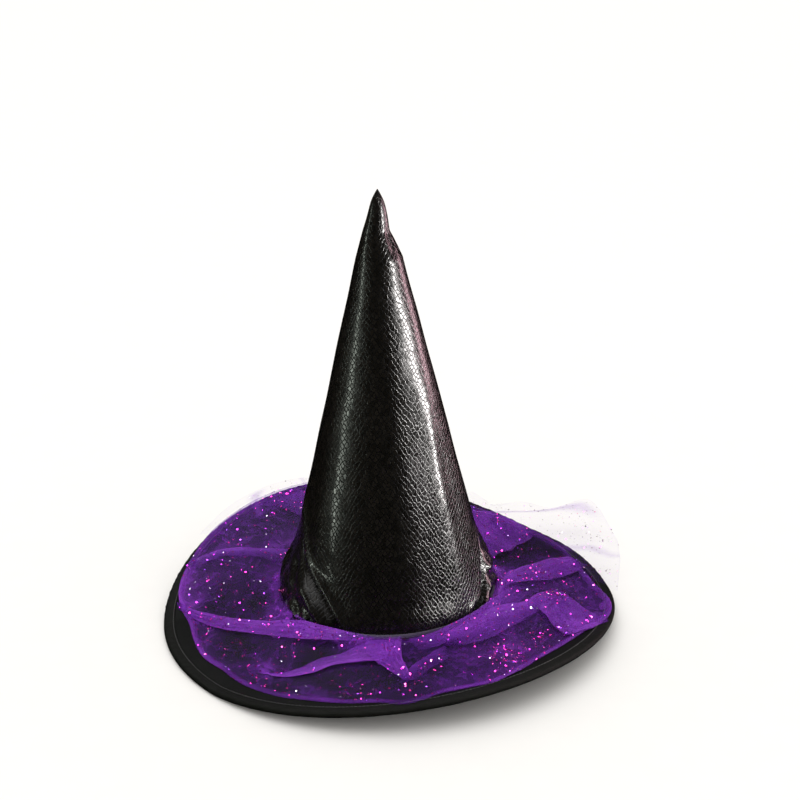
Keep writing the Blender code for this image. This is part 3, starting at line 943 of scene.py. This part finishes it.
def settle(points, fullness, frames, obstacles):
    """Let a ring-shaped sheet buckle and drop, and return how far each point moved.

    Every second row and column is simulated. The two inner rows and the outer row stay put.
    """
    coarse = points[::2, ::2]
    rows, count = coarse.shape[:2]
    trial = add_grid("settling", coarse, wrap_cols=True, flip=True)
    held = [*range(2 * count), *range((rows - 1) * count, rows * count)]
    trial.vertex_groups.new(name="held").add(held, 1.0, "REPLACE")
    for obstacle in obstacles:
        obstacle.modifiers.new("obstacle", "COLLISION")
        obstacle.collision.thickness_outer = 0.0006
    add_cloth(trial, fullness, frames)
    scene = bpy.context.scene
    for number in range(1, frames + 1):
        scene.frame_set(number)
    result = trial.evaluated_get(bpy.context.evaluated_depsgraph_get()).to_mesh()
    moved = positions(result).reshape(coarse.shape) - coarse
    bpy.data.objects.remove(trial)
    for obstacle in obstacles:
        obstacle.modifiers.remove(obstacle.modifiers["obstacle"])
    scene.frame_set(1)
    return refine_ring(moved, *points.shape[:2])


def over_binding(radius):
    """Extra height where cloth on the brim has to clear the rim's binding."""
    return (BINDING_HALF - STACK_HALF) * ramp(radius, RIM_RADIUS - 0.014, RIM_RADIUS - 0.0095)


def brim_under(radius, turn):
    """The brim's mid surface under cloth that may hang past the rim."""
    return brim_z(np.minimum(radius, RIM_RADIUS), turn)


def flat_uv(points):
    """UV in metres along the sheet's own rows and columns."""
    down = np.linalg.norm(np.diff(points, axis=0), axis=-1).mean(axis=1)
    across = np.linalg.norm(np.diff(points, axis=1), axis=-1).mean(axis=0)
    v = np.concatenate([[0.0], np.cumsum(down)])
    u = np.concatenate([[0.0], np.cumsum(across), [across.sum() + across.mean()]])
    return np.stack(np.meshgrid(v, u, indexing="ij"), -1)


def set_cover(piece, values):
    layer = piece.data.attributes.new("cover", "FLOAT", "POINT")
    layer.data.foreach_set("value", np.asarray(values, np.float32).ravel())


# Where the outer fold hides more: turn of the middle, turns away at which it starts and has faded,
# distances inside the edge at which it starts and is full, and how much more
DENSE_EDGES = (
    (-93, 4.0, 17.0, 0.026, 0.006, 0.24),
    (-62, 12.0, 32.0, 0.018, 0.003, 0.08),
    (22, 12.0, 36.0, 0.030, 0.010, 0.06),
)


def ruffle_cover(radius, turn, edge):
    """How much of what lies behind it one ply of the ruffle hides."""
    cover = 0.040 + 0.120 * near_turn(turn, 62, 20.0, 60.0) + 0.10 * (1 - ramp(radius, 0.098, 0.120))
    cover = cover + 0.115 * np.minimum(crease_field(radius, turn), 1.6)
    x, y = around(radius, turn)
    patchy = smooth_noise(np.stack([x, y, 0 * x], -1), 28.0, 5.0)
    cover = cover * (1 + 0.7 * patchy) + 0.16 * bump(radius, edge, 0.0030) * (1 + patchy)
    for middle, full, faded, start, end, more in DENSE_EDGES:
        inside = ramp(radius, edge - start, edge - end)
        cover = cover + more * near_turn(turn, middle, full, faded) * inside
    return np.clip(cover + 0.08 * near_turn(turn, -122, 14.0, 34.0), 0.0, 1.0)


def edge_curve(points, steps):
    """Resample an edge of a fold: plan position and height at even steps."""
    turn = np.degrees(np.unwrap(np.radians([p[0] for p in points])))
    x, y = around(np.array([p[1] for p in points]) / 1000.0, turn)
    run = np.concatenate([[0.0], np.cumsum(np.hypot(np.diff(x), np.diff(y)))])
    at = np.linspace(0.0, run[-1], steps)
    height = np.array([p[2] for p in points]) / 1000.0
    return np.stack([through(list(zip(run, values)), at) for values in (x, y, height)], -1)


FOLD_STEPS = 90
FOLD_ACROSS = 22
FOLD_THICKNESS = 0.0011
FOLD_CLEARANCE = 0.0006         # a fold's lower ply over the ruffle's base ply


def clear_of_crown(place):
    """Plan position pushed outwards where it would cut into the crown, with radius and turn."""
    x, y, height = (place[..., k] for k in range(3))
    radius, turn = polar(x, y)
    z = brim_under(radius, turn) + height
    wall = crown_wall(turn, np.maximum(z, HEM_Z)) + 0.0022
    grow = np.maximum(radius, wall) / radius
    return x * grow, y * grow, radius * grow, turn


def fold_mesh(inner, outer, dense, seed, under):
    """A flattened roll of tulle between two edges: its points, and how dense each of them is.

    The grid runs along the roll, and across it over the upper ply and back under the lower ply.
    """
    a, b = edge_curve(inner, FOLD_STEPS), edge_curve(outer, FOLD_STEPS)
    t = np.concatenate([np.linspace(0.0, 1.0, FOLD_ACROSS), np.linspace(1.0, 0.0, FOLD_ACROSS)[1:-1]])
    upper = np.arange(len(t)) < FOLD_ACROSS
    s = np.linspace(0.0, 1.0, FOLD_STEPS)[:, None]
    place = a[:, None, :] * (1 - t)[None, :, None] + b[:, None, :] * t[None, :, None]
    width = np.linalg.norm((b - a)[:, :2], axis=1)[:, None]
    across = t[None, :]
    round_off = np.sqrt(np.clip(1 - (2 * t - 1) ** 2, 0.0, 1.0))[None, :]
    wander = np.array([noise.noise(Vector((seed * 3.7, v * 5.0, 1.3))) for v in s[:, 0]])[:, None]
    pleats = np.sin(across * width * 1500.0 + wander * 6.0 + seed)
    pleats = pleats + 0.6 * np.sin(across * 19.0 - wander * 9.0)
    body = np.minimum(width / 0.02, 1.0)
    relief = body * (0.0010 * round_off + 0.00045 * pleats * round_off)
    x, y, radius, turn = clear_of_crown(place)
    z = brim_under(radius, turn) + place[..., 2] + relief
    z = z + smooth_noise(np.stack([x, y, z], -1), 85.0, seed * 5.0) * 0.0009 * body
    lowest = under(x, y, brim_under(radius, turn) + over_binding(radius) + STACK_HALF)
    z = np.maximum(z, lowest + FOLD_CLEARANCE + FOLD_THICKNESS * round_off)
    z = np.where(upper[None, :], z, z - FOLD_THICKNESS * round_off * np.minimum(1.0, body * 1.5))
    line = np.exp(-(np.minimum(t, 1 - t)[None, :] * width / 0.0013) ** 2)
    ends = np.minimum(ramp(s, 0.0, 0.16), 1 - ramp(s, 0.80, 1.0))
    cover = dense[0] + (dense[1] - dense[0]) * ramp(t, 0.0, 1.0)[None, :]
    cover = cover * (1 + 0.45 * line + 0.16 * pleats * round_off + 0.30 * wander)
    return np.stack([x, y, z], -1), np.clip(cover * (0.30 + 0.70 * ends), 0.0, 1.0)


def make_folds(net, under):
    """All the folds, as one piece."""
    points, faces, uvs, covers = [], [], [], []
    count = 0
    for seed, (inner, outer, dense) in enumerate(FOLDS.values()):
        grid, cover = fold_mesh(inner, outer, dense, seed, under)
        rows, cols = grid.shape[:2]
        uvs.append(grid_corner_uv(flat_uv(grid), rows - 1, cols) + seed * 0.05)
        points.append(grid.reshape(-1, 3))
        faces.append(grid_faces(rows, cols, False, True) + count)
        covers.append(cover.ravel())
        count += rows * cols
    folds = add_mesh("tulle_folds", np.concatenate(points), np.concatenate(faces), np.concatenate(uvs))
    set_cover(folds, np.concatenate(covers))
    return finish_piece(folds, net, "hat", ("ruffle_upper_layer",))


# Loose cloth past the brim at the back: the line it leaves from and its free edge, as x, y and
# height in mm
WINGS = {
    "right": (
        ((20, 150, 26), (60, 145, 27), (96, 132, 27), (126, 112, 26), (150, 84, 24), (166, 50, 22),
         (172, 10, 20)),
        ((84, 158, 38), (104, 152, 30), (134, 158, 25), (163, 150, 24), (197, 152, 27), (214, 100, 24),
         (214, 50, 23), (203, -10, 17)),
    ),
    "left": (
        ((-150, 90, 20), (-120, 122, 22), (-80, 142, 22), (-40, 150, 22)),
        ((-180, 92, 20), (-152, 140, 27), (-112, 174, 29), (-52, 190, 33)),
    ),
}
WING_STEPS = 90
WING_ACROSS = 40
WING_CLEARANCE = 0.0060         # over the brim, so that the wing lies on the ruffle


def wing_edge(line):
    """Resample a wing's edge at even steps."""
    xyz = np.array(line, float) / 1000.0
    run = np.concatenate([[0.0], np.cumsum(np.linalg.norm(np.diff(xyz, axis=0), axis=1))])
    at = np.linspace(0.0, run[-1], WING_STEPS)
    return np.stack([through(list(zip(run, xyz[:, k])), at) for k in range(3)], -1)


def make_wing(name, near, far, net):
    """A single loose layer with soft pleats running along it."""
    t = np.linspace(0.0, 1.0, WING_ACROSS)[:, None]
    s = np.linspace(0.0, 1.0, WING_STEPS)[None, :]
    points = wing_edge(near)[None] * (1 - t)[..., None] + wing_edge(far)[None] * t[..., None]
    points[..., 2] += 0.0022 * t * np.sin(s * 26.0 + t * 3.0) + 0.0016 * np.sin(t * 9.0 + s * 14.0) * t
    points[..., 2] += smooth_noise(points, 40.0, 12.0) * 0.004 * t
    radius, turn = polar(points[..., 0], points[..., 1])
    ground = brim_under(radius, turn) + over_binding(radius) + STACK_HALF
    points[..., 2] = np.maximum(points[..., 2], ground + WING_CLEARANCE)
    sheet = add_grid("tulle_wing_" + name, points, flat_uv(points)[:, :WING_STEPS])
    hem = np.exp(-(((1 - t) / 0.02) ** 2)) + 0 * s
    first = bump(s - 0.30 - 0.20 * t, 0.0, 0.022 + 0.03 * t) * (1 - ramp(t, 0.80, 1.0))
    second = bump(s - 0.76 - 0.03 * t, 0.0, 0.012 + 0.014 * (1 - t))
    set_cover(sheet, 0.045 + 0.05 * hem + 0.30 * np.clip(first + 0.7 * second, 0.0, 1.0))
    return finish_piece(sheet, net, "hat", ())


# Glitter flakes: colours from magenta and violet to silver, radii, and the odds of each
FLAKE_COLORS = ((0.85, 0.03, 0.42), (0.62, 0.03, 0.75), (0.95, 0.10, 0.55), (0.40, 0.08, 0.85),
                (0.90, 0.80, 0.95))
COLOR_ODDS = (0.40, 0.24, 0.16, 0.12, 0.08)
FLAKE_SIZES = (0.00026, 0.00044, 0.00072)
SIZE_ODDS = (0.52, 0.31, 0.17)
FLAKE_HALF = 0.00004            # half a flake's thickness
FLAKE_LIFT = 0.00035            # a flake's middle over the cloth
FLAKE_TIP = 0.30                # how far flakes tip off the cloth's own slope

# Where more glitter has stuck: turn, radius, reach and how much more
CLUSTERS = (
    (38.0, 0.156, 0.017, 13.0),
    (53.0, 0.164, 0.012, 8.0),
    (31.0, 0.172, 0.014, 6.0),
    (-8.0, 0.172, 0.020, 3.0),
    (8.0, 0.178, 0.016, 3.0),
    (-70.0, 0.166, 0.018, 2.4),
    (-97.0, 0.160, 0.018, 2.4),
    (-45.0, 0.165, 0.030, 2.0),
    (82.0, 0.150, 0.012, 4.0),
    (98.0, 0.140, 0.014, 3.0),
)


def scatter(piece, count):
    """Seeded points on the faces that look up, spread by area and clusters, with their normals."""
    mesh = piece.data
    mesh.calc_loop_triangles()
    index = np.empty(len(mesh.loop_triangles) * 3, np.int32)
    mesh.loop_triangles.foreach_get("vertices", index)
    a, b, c = (positions(mesh)[index.reshape(-1, 3)[:, k]] for k in range(3))
    normal = np.cross(b - a, c - a)
    area = np.linalg.norm(normal, axis=1)
    faces_up = normal[:, 2] > 0
    middle = (a + b + c) / 3
    crowd = np.ones(len(area))
    for turn, radius, reach, more in CLUSTERS:
        x, y = around(radius, turn)
        crowd += more * np.exp(-((middle[:, 0] - x) ** 2 + (middle[:, 1] - y) ** 2) / reach ** 2)
    odds = np.where(faces_up, area * crowd, 0.0)
    pick = RNG.choice(len(area), count, p=odds / odds.sum())
    u, v = RNG.random(count), RNG.random(count)
    over = u + v > 1
    u[over], v[over] = 1 - u[over], 1 - v[over]
    place = a[pick] + (b - a)[pick] * u[:, None] + (c - a)[pick] * v[:, None]
    return place, normal[pick] / area[pick][:, None]


def unit(vectors):
    """Rows of vectors at length 1."""
    return vectors / np.linalg.norm(vectors, axis=1)[:, None]


def flake_faces(count):
    """Quads and end caps of six-sided flakes, 12 points to a flake."""
    faces = []
    for k in range(0, 12 * count, 12):
        faces.append([k + m for m in range(6)])
        faces.append([k + m for m in range(11, 5, -1)])
        faces += [[k + m, k + 6 + m, k + 6 + (m + 1) % 6, k + (m + 1) % 6] for m in range(6)]
    return faces


def make_glitter(sheets, look):
    """Hexagonal foil flakes, each tipped its own way."""
    place, normal = (np.concatenate(v) for v in zip(*[scatter(piece, n) for piece, n in sheets]))
    count = len(place)
    normal = unit(normal + RNG.normal(0.0, FLAKE_TIP, (count, 3)))
    side = unit(np.cross(normal, RNG.normal(size=(count, 3))))
    other = np.cross(normal, side)
    size = RNG.choice(FLAKE_SIZES, count, p=SIZE_ODDS)
    corner = np.arange(6) * math.pi / 3
    along, across = (wave(corner)[None, :, None] for wave in (np.cos, np.sin))
    ring = (along * side[:, None, :] + across * other[:, None, :]) * size[:, None, None]
    half = normal[:, None, :] * FLAKE_HALF
    middle = place[:, None, :] + np.array([0.0, 0.0, FLAKE_LIFT])
    verts = np.concatenate([middle + ring + half, middle + ring - half], axis=1)
    glitter = add_mesh("glitter_flakes", verts, flake_faces(count))
    glitter.data.shade_flat()
    pick = RNG.choice(len(FLAKE_COLORS), count, p=COLOR_ODDS)
    tint = np.ones((count, 12, 4), np.float32)
    tint[..., :3] = np.array(FLAKE_COLORS)[pick][:, None, :]
    layer = glitter.data.attributes.new("flake", "FLOAT_COLOR", "POINT")
    layer.data.foreach_set("color", tint.ravel())
    return finish_piece(glitter, look, "hat", ())


def steepness(points):
    """How much of the net a look from above gathers, from the slope of each point."""
    across = np.roll(points, -1, axis=1) - np.roll(points, 1, axis=1)
    down = np.gradient(points, axis=0)
    normal = np.cross(across, down)
    level = np.abs(normal[..., 2]) / np.maximum(np.linalg.norm(normal, axis=-1), 1e-12)
    return np.clip(1 / np.maximum(level, 0.2), 1.0, 3.0)


def make_ruffle(net, flake, obstacles):
    """The gathered tulle strip, the folds and wings laid over it, and the glitter on all of them."""
    points, radius, turns, edge = ruffle_sheet()
    points[:RUFFLE_ROWS_TOP] += settle(points[:RUFFLE_ROWS_TOP], 0.07, 16, obstacles)
    sheet = add_grid("tulle_ruffle", points, flat_uv(points), wrap_cols=True, flip=True)
    slope = steepness(points)
    slope[RUFFLE_ROWS_TOP - 2:] = 1.0
    set_cover(sheet, ruffle_cover(radius, turns, edge[None, :]) * (0.6 + 0.4 * slope ** 2))
    finish_piece(sheet, net, "hat", ("ruffle_lower_layer",))
    folds = make_folds(net, upper_height(sheet))
    wings = [make_wing(name, near, far, net) for name, (near, far) in WINGS.items()]
    make_glitter([(sheet, 7200), (folds, 2380), (wings[0], 230), (wings[1], 80)], flake)


def make_gather_band(ribbon, thread):
    """The tape that holds the gathered edge at the crown's foot, and its stitches."""
    low = RING_Z + STACK_HALF + LAYER_GAP
    inner = CROWN_RADIUS + 0.0006
    outer = inner + 0.0012
    section = [(inner, low), (outer, low + 0.0002), (outer, low + 0.0048), (inner, low + 0.0050)]
    band = add_ring("gather_tape", section, 192)
    finish_piece(band, ribbon, "hat", ("ruffle_gather_band",))
    seam = inner + 0.0016
    stitches = stitch_row("gather_stitches", lambda t: (seam, low + 0.0025), 0.0040)
    finish_piece(stitches, thread, "hat", ("ruffle_stitching",))


# ---------------------------------------------------------------- stage


def add_camera():
    data = bpy.data.cameras.new("camera")
    data.lens = 63.0
    data.sensor_width = 36.0
    data.dof.use_dof = False
    camera = bpy.data.objects.new("camera", data)
    bpy.context.collection.objects.link(camera)
    place = Matrix.Translation((0.0141, -1.1095, RING_Z + 0.5998))
    tilt = Matrix.Rotation(math.radians(90 - 20.73), 4, "X")
    roll = Matrix.Rotation(math.radians(-1.38), 4, "Z")
    camera.matrix_world = place @ tilt @ roll
    bpy.context.scene.camera = camera


def add_strip(name, low, high, width, power, color):
    """A long lamp between two points, facing the hat. It shows in gloss only."""
    low, high = Vector(low), Vector(high)
    middle = (low + high) / 2
    long_way = (high - low).normalized()
    facing = (Vector((0.0, 0.0, 0.15)) - middle).normalized()
    across = long_way.cross(facing).normalized()
    facing = across.cross(long_way).normalized()
    data = bpy.data.lights.new(name, "AREA")
    data.shape = "RECTANGLE"
    data.size = width
    data.size_y = (high - low).length
    data.energy = power
    data.color = color
    lamp = bpy.data.objects.new(name, data)
    basis = Matrix((across, long_way, -facing)).transposed().to_4x4()
    lamp.matrix_world = Matrix.Translation(middle) @ basis
    lamp.visible_diffuse = False
    bpy.context.collection.objects.link(lamp)


def add_floor():
    """A pale round floor, wide enough to fill the frame."""
    s = Shader("floor")
    grain = s.noise(s.place(), 40.0, 3.0).outputs["Fac"]
    tint = s.mix(grain, (0.865, 0.855, 0.84), (0.89, 0.88, 0.865))
    look = s.surface({"Base Color": tint, "Roughness": 0.95, "Specular IOR Level": 0.1})
    turn = np.linspace(0.0, 360.0, 97)[:-1]
    rings = [np.stack([*around(radius, turn), 0 * turn], -1) for radius in (0.001, 0.6, 4.0, 14.0)]
    floor = add_grid("floor", np.array(rings), wrap_cols=True, flip=True)
    floor.data.materials.append(look)
    floor.visible_glossy = False


def add_world():
    world = bpy.data.worlds.new("studio")
    bpy.context.scene.world = world
    world.use_nodes = True
    shade = world.node_tree.nodes["Background"]
    shade.inputs["Color"].default_value = (1.0, 0.985, 0.96, 1.0)
    shade.inputs["Strength"].default_value = 0.98
    world.cycles_visibility.glossy = False


def add_sun(name, towards, strength, spread, gloss_only=False):
    """Even soft light from a direction, given as the vector from the lamp to the hat."""
    data = bpy.data.lights.new(name, "SUN")
    data.energy = strength
    data.angle = math.radians(spread)
    lamp = bpy.data.objects.new(name, data)
    lamp.rotation_euler = Vector(towards).to_track_quat("-Z", "Y").to_euler()
    lamp.visible_diffuse = not gloss_only
    bpy.context.collection.objects.link(lamp)


def add_lights():
    add_sun("overhead", (0.12, 0.05, -1.0), 0.75, 60.0)
    add_sun("sparkle", (0.10, -0.25, -1.0), 4.5, 32.0, gloss_only=True)
    add_strip("right_strip", (1.5, 0.05, 0.0), (1.17, -0.93, 0.72), 0.12, 30.0, (1.0, 0.97, 0.95))
    add_strip("right_glow", (1.45, 0.55, 0.05), (1.5, 0.40, 0.75), 0.5, 11.0, (1.0, 0.62, 0.70))
    add_strip("left_strip", (-1.32, -0.70, 0.0), (-1.5, -0.10, 0.70), 0.06, 3.0, (0.90, 1.0, 0.88))


def main():
    black_thread = thread_material("black_thread", (0.03, 0.03, 0.032))
    make_crown(foil_scale_material())
    felt = felt_material("interlining_felt", (0.055, 0.055, 0.058))
    make_crown_inside(felt, ribbon_material("grosgrain", (0.016, 0.016, 0.018)), black_thread)
    satin = satin_material("brim_satin", (0.0016, 0.0021, 0.0015))
    under = satin_material("brim_lining", (0.010, 0.010, 0.011), 0.0009)
    tape = satin_material("binding_satin", (0.0036, 0.0040, 0.0028), 0.0005)
    make_brim(satin, under, tape, black_thread)
    obstacles = [bpy.data.objects["brim_satin"], bpy.data.objects["crown_cloth"]]
    net = tulle_material("tulle_net", (0.275, 0.039, 0.575), (0.185, 0.019, 0.52))
    make_ruffle(net, glitter_material("glitter_foil"), obstacles)
    violet_tape = ribbon_material("violet_tape", (0.05, 0.015, 0.11))
    make_gather_band(violet_tape, thread_material("violet_thread", (0.1, 0.03, 0.2)))
    steel = metal_material("spring_wire", (0.55, 0.55, 0.56), 0.3)
    crimp = metal_material("crimp_tube", (0.62, 0.6, 0.54), 0.4)
    make_seam_tape(ribbon_material("seam_tape", (0.02, 0.02, 0.02)))
    kept = {"brim_core": felt, "brim_edge_wire": steel, "edge_wire_joiner": crimp}
    for node, look in kept.items():
        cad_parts[node].data.materials.clear()
        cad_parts[node].data.materials.append(look)
    add_floor()
    add_world()
    add_lights()
    add_camera()
    bpy.context.scene.view_settings.view_transform = "Standard"


main()
